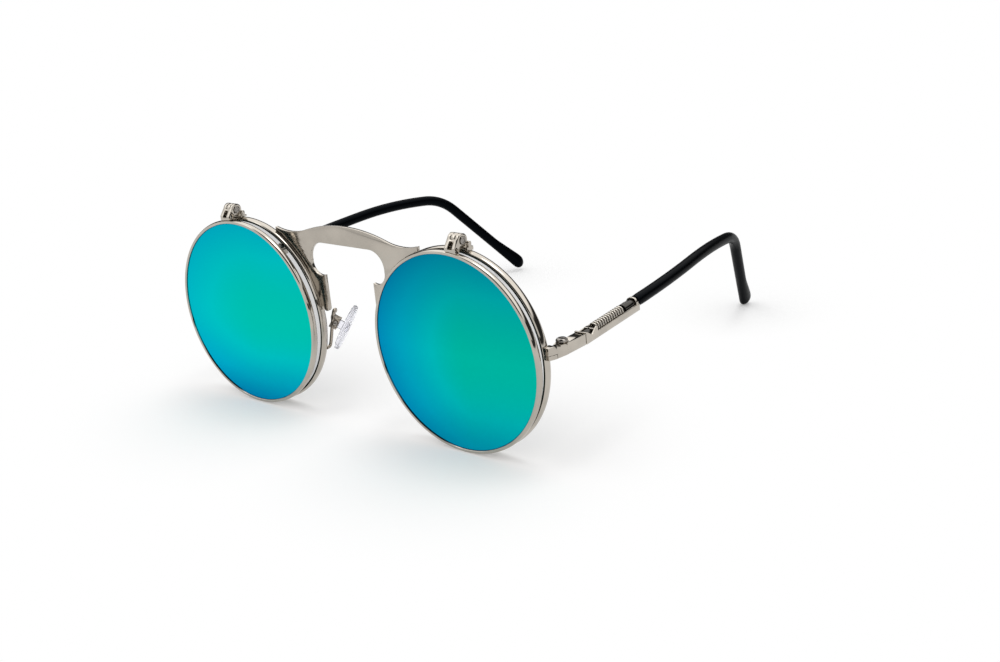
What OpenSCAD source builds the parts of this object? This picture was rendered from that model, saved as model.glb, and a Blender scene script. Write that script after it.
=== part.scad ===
// Round metal sunglasses whose front lenses flip up on two small barrel hinges.
// The wearer looks along -Y, +X is the wearer's left and +Z is up.
// The glasses stand open on a table at z = 0, on the rims and the lower temple tip,
// and the origin is under the middle of the whole object.

/* [Rims and lenses] */
// Distance between the two rim centres
rim_spacing = 72; // [64:0.5:88]
// Outer diameter of every rim
rim_d = 50.4; // [42:0.2:60]
// Width of the rim wire seen from the front
rim_w = 0.9; // [0.8:0.05:1.4]
// Depth of an eye rim from front to back
eye_rim_depth = 2.1; // [1.8:0.1:3]
// Depth of a flip rim from front to back
flip_rim_depth = 1.55; // [1.4:0.05:2.4]
// Gap between a parallel flip rim and its eye rim
flip_gap = 1.65; // [1.3:0.05:2.4]
// Thickness of every lens
lens_t = 1.0; // [0.8:0.05:1.2]
// Radius of the two faces of a lens
lens_curve_r = 600; // [300:50:1200]

/* [Flip hinges] */
// How far a flip hinge stands outward of its rim centre
flip_hinge_out = 2.8; // [0:0.1:5]
// Height of the flip hinge axis above the top of the rims
flip_axis_up = 2.1; // [1.85:0.05:2.6]
// Radius of the hinge barrel
barrel_r = 1.6; // [1.3:0.05:1.7]
// Length of the hinge barrel
barrel_len = 3.3; // [3:0.1:4]
// Width of the middle knuckle, which belongs to the eye rim
knuckle_w = 1.3; // [1:0.1:1.6]
// Radius of the hinge pin
flip_pin_r = 0.6; // [0.4:0.05:0.7]
// How far the left flip front rests closed from parallel, in degrees
left_close_deg = 1.2; // [0:0.1:1.5]

/* [Bridge] */
// Thickness of the bridge plate
plate_t = 0.9; // [0.7:0.05:1.2]
// Height of the plate's crest above the top of the rims
crest_up = 0.8; // [0:0.1:3]
// How far the top edge dips between the crest and the wing tips
wing_dip = 3.1; // [2:0.05:4]
// Radius of the hollow in the top edge above each wing
wing_hollow_r = 18; // [14:0.5:24]
// Width of the nose cut-out between the two legs
nose_gap_w = 17.0; // [15:0.2:19]
// Height of metal left above the nose cut-out
nose_band_h = 4.9; // [3.5:0.1:7]
// Radius of the round lobes in the top corners of the nose cut-out
nose_lobe_r = 4.65; // [3.5:0.05:5]
// Length of the straight legs below the lobes
leg_len = 9.5; // [6:0.1:12]

/* [Endpieces and temple hinges] */
// How far a temple hinge axis stands outward of its rim
hinge_out = 0.9; // [0.8:0.05:2]
// Height of the temple hinges above the rim centres
hinge_up = 3.3; // [1:0.1:8]
// Distance of the hinge axis behind the front of the eye rim
hinge_back = 5.2; // [5:0.1:7]
// Height of the endpieces and hinge blocks
block_h = 2.6; // [2.4:0.1:3.2]
// Distance from the hinge axis to the outer faces
block_out = 1.9; // [1.8:0.05:2.3]
// Radius of the hinge knuckles
hinge_r = 1.4; // [1.3:0.05:1.5]
// Radius of the hinge screw
hinge_screw_r = 0.5; // [0.4:0.05:0.6]

/* [Temples] */
// Length from the hinge axis to the bend behind the ear
temple_len = 91.3; // [78:0.1:106]
// Inward lean of the open left temple where it starts, in degrees
left_lean = 2.3; // [1:0.1:6]
// Inward lean of the open right temple where it starts, in degrees
right_lean = 1.1; // [1:0.1:6]
// Rise of the left temple where it starts, in degrees
left_rise = 2.3; // [1:0.1:3.5]
// Rise of the right temple where it starts, in degrees
right_rise = 2.8; // [1:0.1:3.5]
// How far the sleeve curves inward at the bend
sleeve_in = 6.2; // [2:0.1:8]
// How far the sleeve curves down before the bend
sleeve_dip = 3.6; // [1:0.1:5]
// Steepness of the part behind the bend, in degrees
tip_drop = 49.2; // [40:0.1:58]
// Inward turn of the part behind the bend, in degrees
tip_turn = 23.8; // [5:0.1:28]
// Length of the straight block behind the hinge
hinge_block_len = 6.3; // [5.5:0.1:8]
// Length of the channel that holds the spring
channel_len = 23.0; // [21:0.1:34]
// Outer radius of the coil spring
spring_r = 1.35; // [1.1:0.05:1.4]
// Thickness of the spring wire
spring_wire_d = 0.5; // [0.4:0.02:0.52]
// Number of turns of the spring
spring_turns = 13; // [8:1:16]
// Distance from one spring turn to the next
spring_pitch = 0.93; // [0.93:0.01:1.2]
// Radius of the sleeve
sleeve_r = 1.5; // [1.45:0.05:1.8]
// Half width of the paddle at the tip
paddle_r = 2.2; // [1.8:0.05:2.8]

/* [Nose pads] */
// Length of a nose pad
pad_len = 12.6; // [11:0.1:14]
// Width of a nose pad
pad_w = 7; // [6:0.1:8]
// Thickness of a nose pad at its crown
pad_t = 2.1; // [1.8:0.1:2.6]
// Distance from the middle of the nose to the middle of a pad
pad_side = 10; // [9:0.1:11.5]
// Distance of a pad's middle behind the front of the eye rim
pad_back = 7.4; // [7:0.1:9]
// Height of a pad's middle below the rim centres
pad_down = 3.5; // [2:0.1:6]
// Thickness of the pad arm wire
arm_wire_d = 0.9; // [0.7:0.05:1.1]

/* [Hidden] */

round_fn = 180;      // facets of the large circles
small_fn = 48;       // facets of pins, screws and knuckles
seat_gap = 0.02;     // between pieces that are soldered or screwed together
run_gap = 0.03;      // between a pin and the bore that it turns in
side_gap = 0.05;     // between the side faces of hinge knuckles
eps = 0.01;          // how far a cut runs past the face that it opens

// Rims and lenses
rim_x = rim_spacing / 2;
rim_r = rim_d / 2;
rim_in_r = rim_r - rim_w;
rim_edge = 0.14;                 // chamfer on the outer edges of a rim
groove_h = 0.42;                 // half width of the lens groove at the opening
groove_deep = rim_w * 0.52;
bevel_deep = groove_deep - 0.07; // lens bevel, which seats in the groove
lens_r = rim_in_r - 0.03;
lens_sag = lens_curve_r - sqrt(lens_curve_r * lens_curve_r - lens_r * lens_r);
eye_mid_y = eye_rim_depth / 2;
flip_mid_y = -flip_gap - flip_rim_depth / 2;
flip_front_y = -flip_gap - flip_rim_depth;

// Flip hinges
axis_y = flip_front_y + 2.95;
axis_z = rim_d + flip_axis_up;
hinge_x = rim_x + flip_hinge_out;
window_w = 1.3;                  // window between the bracket's two legs
base_half = barrel_len / 2 + 0.95; // half length of the saddle on the eye rim
base_top = axis_z - barrel_r - 0.12;
ear_t = 0.75;
ear_up = 1.7;
pin_head_r = 0.95;
pin_head_t = 0.25;

// Bridge plate
crest_z = rim_d + crest_up;
wing_x = rim_x - 16.5;           // middle of the hollow above a wing
crest_r = (wing_x * wing_x - 2 * wing_hollow_r * wing_dip + wing_dip * wing_dip) / (2 * wing_dip);
wing_tip_x = rim_x - 11.4;
join_x = wing_x * crest_r / (crest_r + wing_hollow_r);
nose_top_z = crest_z - nose_band_h;
lobe_z = nose_top_z - nose_lobe_r;
tooth_z = lobe_z - 4;
leg_z = tooth_z - leg_len;
leg_r = 1.05;

// Temple hinge axis and the endpiece in front of it
pivot_x = rim_x + rim_r + hinge_out;
pivot_z = rim_r + hinge_up;
half_h = block_h / 2;
butt_y = -0.4;                   // joint line, in front of the hinge axis
lobe_t = 0.75;                   // thickness of the upper and lower knuckles
lug_z = pivot_z - 0.6;           // saw cut where the rim closes
saw_w = 0.1;
lug_h = 1.05;                    // height of the block below the saw cut
rim_screw_r = 0.4;
rim_screw_x = rim_x + rim_r + 0.55;
rim_head_r = 0.65;
rim_head_t = 0.4;
head_r = 1.4;
head_t = 0.75;

// Temple, measured along its own axis from the hinge axis
axis_out = 0.5;                  // the spring's axis lies outward of the hinge axis
axis_up = 0.05;                  // and above the middle of the hinge
channel_y = hinge_block_len + 0.08;
wall_t = 0.42;
floor_t = 0.25;
guide_y = channel_y + 3.85;      // wall that the spring bears on
guide_t = 1.05;
spring_y = guide_y + guide_t;
spring_len = spring_turns * spring_pitch + 2 * spring_wire_d;
shoulder_y = spring_y + spring_len;
channel_end = channel_y + channel_len;
core_r = 0.6;
core_back_r = 1.15;
core_wire_r = 0.7;
core_end = channel_end + 14;
sleeve_y = channel_end + 0.6;
sleeve_start_r = 1.4;
curve_y = 30;                    // from here on the sleeve curves inward
dip_y = 60;                      // from here on it also curves down
bend_cut = 6;                    // length that the bend takes from both straights

// Nose pads: directions in the frame of the left pad
pad_up = unit([-4, 4.6, 10.1]);
pad_x = unit(cross(pad_up, [-0.741, 0.417, -0.483]));
pad_face = cross(pad_x, pad_up);
pad_crown_r = 25;                // radius of a pad's two faces
pad_box_back = 2.9;              // from the middle of the pad's back to the screw
pad_screw_r = 0.35;

function unit(v) = v / norm(v);
function ramp(a, b, t) = a + (b - a) * max(0, min(1, t));

// Puts a piece of the left side in its place, or its mirror image on the right
module on_side(left) {
    $left = left;
    translate([0, -mid_y, 0])
        mirror([left ? 0 : 1, 0, 0])
            children();
}

// Stands a shape drawn in the front view upright, from y0 towards the back
module front_view(y0, depth) {
    translate([0, y0 + depth, 0])
        rotate([90, 0, 0])
            linear_extrude(depth)
                children();
}

// Extrudes a shape drawn in the side view across the width, centred on x
module side_view(x, width) {
    translate([x, 0, 0])
        rotate([90, 0, 90])
            linear_extrude(width, center = true)
                children();
}

// Turns something made round Z so that it lies round the Y axis of a rim
module round_rim(y) {
    translate([rim_x, y, rim_r])
        rotate([-90, 0, 0])
            children();
}

module rim_ring(depth) {
    h = depth / 2;
    rotate_extrude($fn = round_fn)
        polygon([
            [rim_in_r + rim_edge, -h], [rim_r - rim_edge, -h], [rim_r, -h + rim_edge],
            [rim_r, h - rim_edge], [rim_r - rim_edge, h], [rim_in_r + rim_edge, h],
            [rim_in_r, h - rim_edge], [rim_in_r, groove_h],
            [rim_in_r + groove_deep, 0],
            [rim_in_r, -groove_h], [rim_in_r, -h + rim_edge]
        ]);
}

// A thin meniscus lens with a bevel round its edge, bulging towards -Z
module lens_blank() {
    front = -lens_sag - lens_t / 2;
    rotate_extrude($fn = round_fn)
        union() {
            intersection() {
                translate([0, -lens_curve_r])
                    square([lens_r, 2 * lens_curve_r]);
                difference() {
                    translate([0, front + lens_curve_r])
                        circle(r = lens_curve_r, $fn = 1440);
                    translate([0, front + lens_curve_r + lens_t])
                        circle(r = lens_curve_r, $fn = 1440);
                }
            }
            polygon([
                [lens_r - 0.3, -groove_h + 0.08], [lens_r, -groove_h + 0.08],
                [lens_r + bevel_deep, 0],
                [lens_r, groove_h - 0.08], [lens_r - 0.3, groove_h - 0.08]
            ]);
        }
}

// Plan of the two blocks that close the rim, reaching root inside its outer edge
module closing_block(root) {
    polygon([
        [rim_x + rim_r - root, 0],
        [rim_x + rim_r + 1.0, 0],
        [rim_x + rim_r + 1.85, eye_rim_depth],
        [rim_x + rim_r - root, eye_rim_depth]
    ]);
}

// Both rims are sawn through beside the endpiece, and two blocks close the cut
module eye_rim() {
    color("silver")
        difference() {
            union() {
                round_rim(eye_mid_y)
                    rim_ring(eye_rim_depth);
                difference() {
                    translate([0, 0, lug_z - lug_h])
                        linear_extrude(lug_h)
                            closing_block(0.8);
                    round_rim(eye_mid_y)
                        cylinder(r = rim_r - 0.3, h = eye_rim_depth + 1, center = true, $fn = round_fn);
                }
            }
            translate([rim_x + rim_in_r - 1, -1, lug_z - eps])
                cube([4, eye_rim_depth + 2, saw_w + eps]);
            translate([rim_screw_x, eye_mid_y, lug_z - lug_h - 1])
                cylinder(r = rim_screw_r + seat_gap, h = lug_h + 2, $fn = small_fn);
            translate([rim_screw_x, eye_mid_y, lug_z - lug_h - 1])
                cylinder(r = rim_head_r + seat_gap, h = rim_head_t + 1, $fn = small_fn);
        }
}

module rear_lens() {
    color("whitesmoke")
        round_rim(eye_mid_y)
            lens_blank();
}

// Sheet metal bridge: a crest, two wings over the rims and two legs beside the nose
module bridge_outline() {
    difference() {
        union() {
            intersection() {
                translate([0, crest_z - crest_r])
                    circle(r = crest_r, $fn = round_fn);
                translate([-join_x, leg_z + leg_r])
                    square([2 * join_x, crest_z - leg_z]);
            }
            for (side = [-1, 1]) {
                translate([side * (nose_gap_w / 2 + leg_r), leg_z + leg_r])
                    circle(r = leg_r, $fn = small_fn);
                difference() {
                    translate([side > 0 ? join_x - eps : -wing_tip_x, rim_r])
                        square([wing_tip_x - join_x + eps, rim_r]);
                    translate([side * wing_x, crest_z - wing_dip + wing_hollow_r])
                        circle(r = wing_hollow_r, $fn = round_fn);
                }
            }
        }
        for (side = [-1, 1]) {
            translate([side * rim_x, rim_r])
                circle(r = rim_r + seat_gap, $fn = round_fn);
            intersection() {
                translate([side * (nose_gap_w / 2 - 0.35), lobe_z])
                    circle(r = nose_lobe_r, $fn = round_fn);
                translate([-nose_gap_w, lobe_z - 0.35])
                    square([2 * nose_gap_w, 2 * nose_lobe_r]);
            }
            translate([side * (nose_gap_w / 2 + 1.1), lobe_z - 0.8])
                circle(r = nose_lobe_r - 1.45, $fn = small_fn);
        }
        translate([-nose_gap_w / 2, leg_z - 1])
            square([nose_gap_w, lobe_z - leg_z + 1]);
        translate([-nose_gap_w / 2 + 0.35, lobe_z - 1])
            square([nose_gap_w - 0.7, nose_lobe_r + 1]);
    }
}

module bridge_plate() {
    color("silver")
        translate([0, -mid_y, 0])
            front_view(eye_rim_depth - plate_t, plate_t)
                bridge_outline();
}

// The flip front turns about the hinge axis; closing moves its lower edge back
module flipped(deg) {
    translate([0, axis_y, axis_z])
        rotate([deg, 0, 0])
            translate([0, -axis_y, -axis_z])
                children();
}

module flip_rim() {
    color("silver")
        round_rim(flip_mid_y)
            rim_ring(flip_rim_depth);
}

module flip_lens() {
    color("deepskyblue")
        round_rim(flip_mid_y)
            lens_blank();
}

module barrel(r, width) {
    side_view(hinge_x, width)
        translate([axis_y, axis_z])
            circle(r = r, $fn = small_fn);
}

// Front hinge leaf: a foot on the flip rim, two legs and two curls round the pin
module flip_bracket() {
    foot_z = axis_z - barrel_r - 0.1;
    color("silver")
        difference() {
            union() {
                barrel(barrel_r, barrel_len);
                side_view(hinge_x, barrel_len)
                    polygon([
                        [flip_front_y, rim_r], [flip_front_y, axis_z - 1.25],
                        [axis_y - barrel_r * cos(50), axis_z + barrel_r * sin(50)],
                        [axis_y, axis_z],
                        [axis_y - barrel_r * cos(50), axis_z - barrel_r * sin(50)],
                        [-flip_gap, foot_z], [-flip_gap, rim_r]
                    ]);
            }
            barrel(barrel_r + 0.08, knuckle_w + 2 * side_gap);
            barrel(flip_pin_r + run_gap, barrel_len + 1);
            translate([hinge_x - window_w / 2, flip_front_y - 1, foot_z + 0.1])
                cube([window_w, 3, axis_z - foot_z]);
            round_rim(flip_mid_y)
                cylinder(r = rim_r + seat_gap, h = flip_rim_depth + 1, center = true, $fn = round_fn);
        }
}

// Rear hinge leaf: a saddle on the eye rim, two upturned ears and the middle knuckle
module flip_base() {
    color("silver")
        difference() {
            union() {
                barrel(barrel_r, knuckle_w);
                side_view(hinge_x, knuckle_w)
                    polygon([
                        [axis_y, axis_z],
                        [axis_y + barrel_r * cos(-62), axis_z + barrel_r * sin(-62)],
                        [0, rim_d - 1], [eye_rim_depth, rim_d - 1],
                        [eye_rim_depth, base_top],
                        [axis_y + barrel_r * cos(12), axis_z + barrel_r * sin(12)]
                    ]);
                translate([hinge_x - base_half, 0, rim_d - 1.2])
                    cube([2 * base_half, eye_rim_depth, base_top - rim_d + 1.2]);
                for (side = [-1, 1])
                    side_view(hinge_x + side * (base_half - ear_t / 2), ear_t)
                        union() {
                            translate([eye_mid_y - 0.5, rim_d - 1])
                                square([1, 0.5 + ear_up]);
                            translate([eye_mid_y, rim_d + ear_up - 0.5])
                                circle(r = 0.5, $fn = small_fn);
                        }
            }
            barrel(flip_pin_r + seat_gap, knuckle_w + 1);
            round_rim(eye_mid_y)
                cylinder(r = rim_r + seat_gap, h = eye_rim_depth + 1, center = true, $fn = round_fn);
        }
}

module flip_pin() {
    color("gray")
        difference() {
            union() {
                barrel(flip_pin_r, barrel_len + 2 * side_gap + 2 * pin_head_t);
                for (side = [-1, 1])
                    translate([side * (barrel_len + pin_head_t + 2 * side_gap) / 2, 0, 0])
                        barrel(pin_head_r, pin_head_t);
            }
            for (side = [-1, 1])
                translate([side * (barrel_len / 2 + side_gap + pin_head_t), 0, 0])
                    barrel(flip_pin_r - 0.15, 0.3);
        }
}

// Moves to the temple hinge axis, at half the height of the blocks
module at_pivot() {
    translate([pivot_x, hinge_back, pivot_z])
        children();
}

module slab(z0, z1) {
    translate([0, 0, z0])
        linear_extrude(z1 - z0)
            children();
}

// Endpiece: a closing block on the rim, a slanted arm and two hinge knuckles
module endpiece() {
    rim_side = rim_x + rim_r - pivot_x;
    color("silver")
        difference() {
            union() {
                translate([0, 0, lug_z + saw_w])
                    linear_extrude(pivot_z + half_h - lug_z - saw_w)
                        closing_block(1.5);
                intersection() {
                    at_pivot()
                        slab(-half_h - 1, half_h)
                            polygon([
                                [block_out - 0.95, -hinge_back + eye_rim_depth + 0.1],
                                [block_out, butt_y - side_gap / 2],
                                [block_out - 1.1, butt_y - side_gap / 2],
                                [rim_side + 0.5, -hinge_back + eye_rim_depth + 0.1]
                            ]);
                    side_view(pivot_x, 10)
                        polygon([
                            [eye_rim_depth, lug_z - lug_h + 0.05],
                            [hinge_back + butt_y, pivot_z - half_h],
                            [hinge_back, pivot_z + half_h + 1],
                            [eye_rim_depth, pivot_z + half_h + 1]
                        ]);
                }
                at_pivot()
                    slab(lug_z + saw_w - pivot_z, half_h)
                        polygon([
                            [rim_side + 0.4, -hinge_back + 1],
                            [rim_side + 1.4, -hinge_back + 1],
                            [block_out - 0.95, -hinge_back + eye_rim_depth + 0.1],
                            [block_out - 0.6, -hinge_back + 3],
                            [rim_side + 0.7, -hinge_back + 3]
                        ]);
                at_pivot()
                    slab(-half_h, half_h)
                        union() {
                            circle(r = hinge_r, $fn = small_fn);
                            polygon([
                                [-1.2, -0.7], [-0.6, -hinge_back + 2.9], [1.2, -hinge_back + 2.9],
                                [block_out - 0.1, butt_y - side_gap / 2], [0, 0]
                            ]);
                        }
            }
            at_pivot()
                slab(-half_h + lobe_t, half_h - lobe_t)
                    circle(r = hinge_r + 0.16, $fn = small_fn);
            at_pivot()
                slab(-half_h - 1, half_h + 1)
                    circle(r = hinge_screw_r + run_gap, $fn = small_fn);
            round_rim(eye_mid_y)
                cylinder(r = rim_r + seat_gap, h = eye_rim_depth + 3, center = true, $fn = round_fn);
            translate([rim_screw_x, eye_mid_y, lug_z])
                cylinder(r = rim_screw_r + seat_gap, h = 1.4, $fn = small_fn);
        }
}

module rim_screw() {
    color("gray")
        translate([rim_screw_x, eye_mid_y, lug_z - lug_h])
            difference() {
                union() {
                    cylinder(r = rim_head_r, h = rim_head_t - seat_gap, $fn = small_fn);
                    cylinder(r = rim_screw_r, h = lug_h + saw_w + 1.2, $fn = small_fn);
                }
                translate([-1, -0.12, -0.8])
                    cube([2, 0.24, 1]);
            }
}

module hinge_screw() {
    color("gray")
        at_pivot()
            difference() {
                union() {
                    translate([0, 0, -half_h - 0.15])
                        cylinder(r = hinge_screw_r, h = block_h + 0.3, $fn = small_fn);
                    translate([0, 0, half_h + seat_gap])
                        cylinder(r = head_r, h = head_t - 0.25, $fn = small_fn);
                    translate([0, 0, half_h + seat_gap + head_t - 0.25])
                        cylinder(r1 = head_r, r2 = head_r - 0.35, h = 0.35, $fn = small_fn);
                }
                translate([-2, -0.2, half_h + head_t - 0.25])
                    cube([4, 0.4, 1]);
            }
}

// Hinge block: the middle knuckle and the block that the spring rod starts from
module hinge_block() {
    color("silver")
        at_pivot()
            difference() {
                union() {
                    slab(-half_h + lobe_t + side_gap, half_h - lobe_t - side_gap)
                        circle(r = hinge_r, $fn = small_fn);
                    slab(-half_h, half_h)
                        polygon([
                            [block_out, butt_y + side_gap / 2],
                            [block_out + 0.1, hinge_block_len],
                            [axis_out - spring_r, hinge_block_len],
                            [axis_out - spring_r, 2.6],
                            [0.2, 1.3], [0.2, 0.4],
                            [1.2, butt_y + side_gap / 2]
                        ]);
                }
                for (z0 = [-half_h - 1, half_h - lobe_t - side_gap])
                    slab(z0, z0 + lobe_t + side_gap + 1)
                        circle(r = hinge_r + 0.16, $fn = small_fn);
                slab(-half_h - 1, half_h + 1)
                    circle(r = hinge_screw_r + run_gap, $fn = small_fn);
            }
}

// Moves to the temple's own line, with Y along it and the spring axis at x = z = 0
module at_temple() {
    at_pivot()
        rotate([0, 0, $left ? left_lean : right_lean])
            rotate([$left ? left_rise : right_rise, 0, 0])
                translate([axis_out, 0, axis_up])
                    children();
}

module along(y0, y1) {
    translate([0, y1, 0])
        rotate([90, 0, 0])
            linear_extrude(y1 - y0)
                children();
}

// Temple bar: a channel for the spring, with a tall inner rail and a low outer wall
module temple_bar() {
    in_x = spring_r + 0.08;
    low = -spring_r - 0.05 - floor_t;
    high = half_h - 0.1;
    rail_up = 0.35;
    color("silver")
        at_temple()
            difference() {
                union() {
                    along(channel_y, channel_end)
                        translate([-in_x - wall_t, low])
                            square([2 * (in_x + wall_t), floor_t]);
                    along(channel_y, channel_end)
                        translate([-in_x - wall_t, low])
                            square([wall_t, rail_up - low]);
                    along(channel_y, channel_end)
                        translate([in_x, low])
                            square([wall_t, -low]);
                    along(channel_y, spring_y - seat_gap)
                        translate([in_x, low])
                            square([wall_t, high - low]);
                    along(guide_y, guide_y + guide_t - seat_gap)
                        translate([-in_x - eps, low])
                            square([2 * in_x + 2 * eps, 0.7 - low]);
                    along(channel_y, channel_y + 0.5)
                        translate([-in_x - eps, low])
                            square([2 * in_x + 2 * eps, high - low]);
                    along(channel_end - 0.8, channel_end)
                        union() {
                            circle(r = core_back_r + wall_t, $fn = small_fn);
                            translate([-in_x - wall_t, low])
                                square([2 * (in_x + wall_t), -low]);
                        }
                }
                side_view(in_x, 2 * wall_t)
                    polygon([
                        [channel_y + 0.5, high + 0.1],
                        [channel_y + 2.4, -0.1],
                        [spring_y - 0.5, high + 0.1]
                    ]);
                along(channel_y - 1, channel_y + 1)
                    rotate([0, 0, 45])
                        square(2 * core_r + 0.06, center = true);
                along(guide_y - 1, guide_y + guide_t + 1)
                    circle(r = core_r + seat_gap, $fn = small_fn);
                along(channel_end - 2, channel_end + 1)
                    circle(r = core_back_r + seat_gap, $fn = small_fn);
            }
}

// Rod through the spring: a square shank in front, a shoulder and a wire behind
module temple_core() {
    color("dimgray")
        at_temple()
            union() {
                along(channel_y + 0.02, guide_y - 0.3)
                    rotate([0, 0, 45])
                        square(2 * core_r, center = true);
                along(guide_y - 0.4, shoulder_y + 0.5)
                    circle(r = core_r, $fn = small_fn);
                along(shoulder_y + seat_gap, channel_end + 0.1)
                    circle(r = core_back_r, $fn = small_fn);
                along(channel_end, core_end)
                    circle(r = core_wire_r, $fn = small_fn);
            }
}

// Tube from rings of points round a path: each ring has the same number of points
module tube(rings) {
    n = len(rings[0]);
    last = len(rings) - 1;
    faces = concat(
        [[for (k = [0:n - 1]) k]],
        [[for (k = [n - 1:-1:0]) last * n + k]],
        [for (i = [0:last - 1], k = [0:n - 1])
            [i * n + k, (i + 1) * n + k, i * n + (k + 1) % n]],
        [for (i = [0:last - 1], k = [0:n - 1])
            [i * n + (k + 1) % n, (i + 1) * n + k, (i + 1) * n + (k + 1) % n]]
    );
    polyhedron([for (ring = rings) each ring], faces, convexity = 8);
}

// Spring path: a short straight end along the axis, the turns, and a straight end
spring_mean_r = spring_r - spring_wire_d / 2;
spring_steps = spring_turns * 8;
function coil_point(i) =
    let (a = i * 45, y = spring_wire_d + i / 8 * spring_pitch)
    [spring_mean_r * cos(a), y, spring_mean_r * sin(a)];
function coil_tangent(i) =
    let (a = i * 45, rise = spring_pitch / 360 * 180 / PI)
    unit([-spring_mean_r * sin(a), rise, spring_mean_r * cos(a)]);
function coil_ring(p, along_wire, a) =
    let (out = [cos(a), 0, sin(a)], side = cross(along_wire, out))
    [for (k = [0:5]) p + spring_wire_d / 2 * (cos(60 * k) * out + sin(60 * k) * side)];
spring_rings = concat(
    [coil_ring([spring_mean_r, 0, 0], [0, 1, 0], 0)],
    [for (i = [0:spring_steps])
        let (end_turn = i == 0 || i == spring_steps)
        coil_ring(coil_point(i), end_turn ? unit(coil_tangent(i) + [0, 1, 0]) : coil_tangent(i), i * 45)],
    [coil_ring([spring_mean_r, spring_len, 0], [0, 1, 0], 0)]
);
spring_gap = min([for (i = [0:spring_steps - 5], j = [i + 5:spring_steps])
    norm(coil_point(i) - coil_point(j))]) - spring_wire_d;
echo(spring_least_gap_mm = spring_gap);

module temple_spring() {
    color("lightgray")
        at_temple()
            translate([0, spring_y, 0])
                tube(spring_rings);
}

// Sleeve path: a long curve inward and down, round the bend and down to the tip
function sleeve_run(y) = [
    -sleeve_in * pow(max(0, y - curve_y) / (temple_len - curve_y), 2),
    y,
    -sleeve_dip * pow(max(0, y - dip_y) / (temple_len - dip_y), 2)
];
tip_dir = [-sin(tip_turn) * cos(tip_drop), cos(tip_turn) * cos(tip_drop), -sin(tip_drop)];
bend_plane = unit(cross([0, 1, 0], tip_dir));
corner = sleeve_run(temple_len);
tip_end_up = 0.2;                // height of the path's end above the table
low_rise = min(left_rise, right_rise);
corner_up = pivot_z + temple_len * sin(low_rise) + (corner[2] + axis_up) * cos(low_rise);
tip_fall = -tip_dir[1] * sin(low_rise) - tip_dir[2] * cos(low_rise);
leg = (corner_up - tip_end_up) / tip_fall;
run_steps = 10;
bend_steps = 7;
leg_steps = 14;
sleeve_sides = 20;
sleeve_path = concat(
    [sleeve_run(sleeve_y), sleeve_run(sleeve_y + 0.4)],
    [for (i = [1:run_steps]) sleeve_run(ramp(sleeve_y, temple_len - bend_cut, i / run_steps))],
    [for (i = [1:bend_steps])
        let (t = i / bend_steps)
        (1 - t) * (1 - t) * sleeve_run(temple_len - bend_cut) + 2 * t * (1 - t) * corner
            + t * t * (corner + bend_cut * tip_dir)],
    // the last rings come closer together, so that the paddle ends round
    [for (i = [1:leg_steps]) corner + (leg - (leg - bend_cut) * pow(1 - i / leg_steps, 1.6)) * tip_dir]
);
sleeve_last = len(sleeve_path) - 1;

function sleeve_ring(i) =
    let (way = unit(sleeve_path[min(sleeve_last, i + 1)] - sleeve_path[max(0, i - 1)]),
         flat = unit(cross(bend_plane, way)),
         side = cross(way, flat),
         left = norm(sleeve_path[sleeve_last] - sleeve_path[i]),
         wide = i == 0 ? sleeve_start_r - 0.2 : i == 1 ? sleeve_start_r
             : ramp(paddle_r, sleeve_r, (left - 3.5) / 10),
         thick = i < 2 ? wide : ramp(sleeve_r - 0.05, sleeve_r, (left - 3) / 10),
         round_end = left < 2.4 ? max(0.12, sqrt(max(0, 1 - pow(1 - left / 2.4, 2)))) : 1,
         p = sleeve_path[i] - max(0, wide - sleeve_r) * 0.7 * flat)
    [for (k = [0:sleeve_sides - 1])
        p + round_end * (wide * cos(360 / sleeve_sides * k) * flat
            + thick * sin(360 / sleeve_sides * k) * side)];
sleeve_rings = [for (i = [0:sleeve_last]) sleeve_ring(i)];

module temple_tip() {
    color("black")
        at_temple()
            difference() {
                tube(sleeve_rings);
                along(sleeve_y - 1, core_end + 0.5)
                    circle(r = core_wire_r + seat_gap, $fn = small_fn);
            }
}

// The middle of the object's depth, which is where the origin stands
function back_of(p, lean, rise) =
    hinge_back + (p[0] + axis_out) * sin(lean)
        + (p[1] * cos(rise) - (p[2] + axis_up) * sin(rise)) * cos(lean);
front_y = flip_mid_y - lens_sag - lens_t / 2;
back_y = max([for (ring = sleeve_rings, p = ring)
    max(back_of(p, left_lean, left_rise), back_of(p, right_lean, right_rise))]);
mid_y = (front_y + back_y) / 2;
echo(middle_of_depth_mm = mid_y);

// Nose pads: X is across the pad, Y along it and Z out of its face
module at_pad() {
    multmatrix([
        [pad_x[0], pad_up[0], pad_face[0], pad_side],
        [pad_x[1], pad_up[1], pad_face[1], pad_back],
        [pad_x[2], pad_up[2], pad_face[2], rim_r - pad_down]
    ])
        children();
}

// Egg-shaped outline, wider at its lower end
pad_outline = [for (k = [0:47])
    let (a = 360 / 48 * k)
    [pad_w / 2 * cos(a) * (1 - 0.1 * sin(a)), pad_len / 2 * sin(a)]];

module nose_pad() {
    color("ghostwhite")
        at_pad()
            difference() {
                union() {
                    intersection() {
                        translate([0, 0, -pad_t])
                            linear_extrude(2 * pad_t)
                                polygon(pad_outline);
                        translate([0, 0, pad_crown_r - pad_t / 2])
                            sphere(r = pad_crown_r, $fn = round_fn);
                        translate([0, 0, pad_t / 2 - pad_crown_r])
                            sphere(r = pad_crown_r, $fn = round_fn);
                    }
                    translate([-0.5, -1.1, -pad_box_back - 0.75])
                        cube([1, 2.2, pad_box_back]);
                }
                translate([0, 0, -pad_box_back])
                    rotate([0, 90, 0])
                        cylinder(r = pad_screw_r + run_gap, h = 3, center = true, $fn = small_fn);
            }
}

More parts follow.
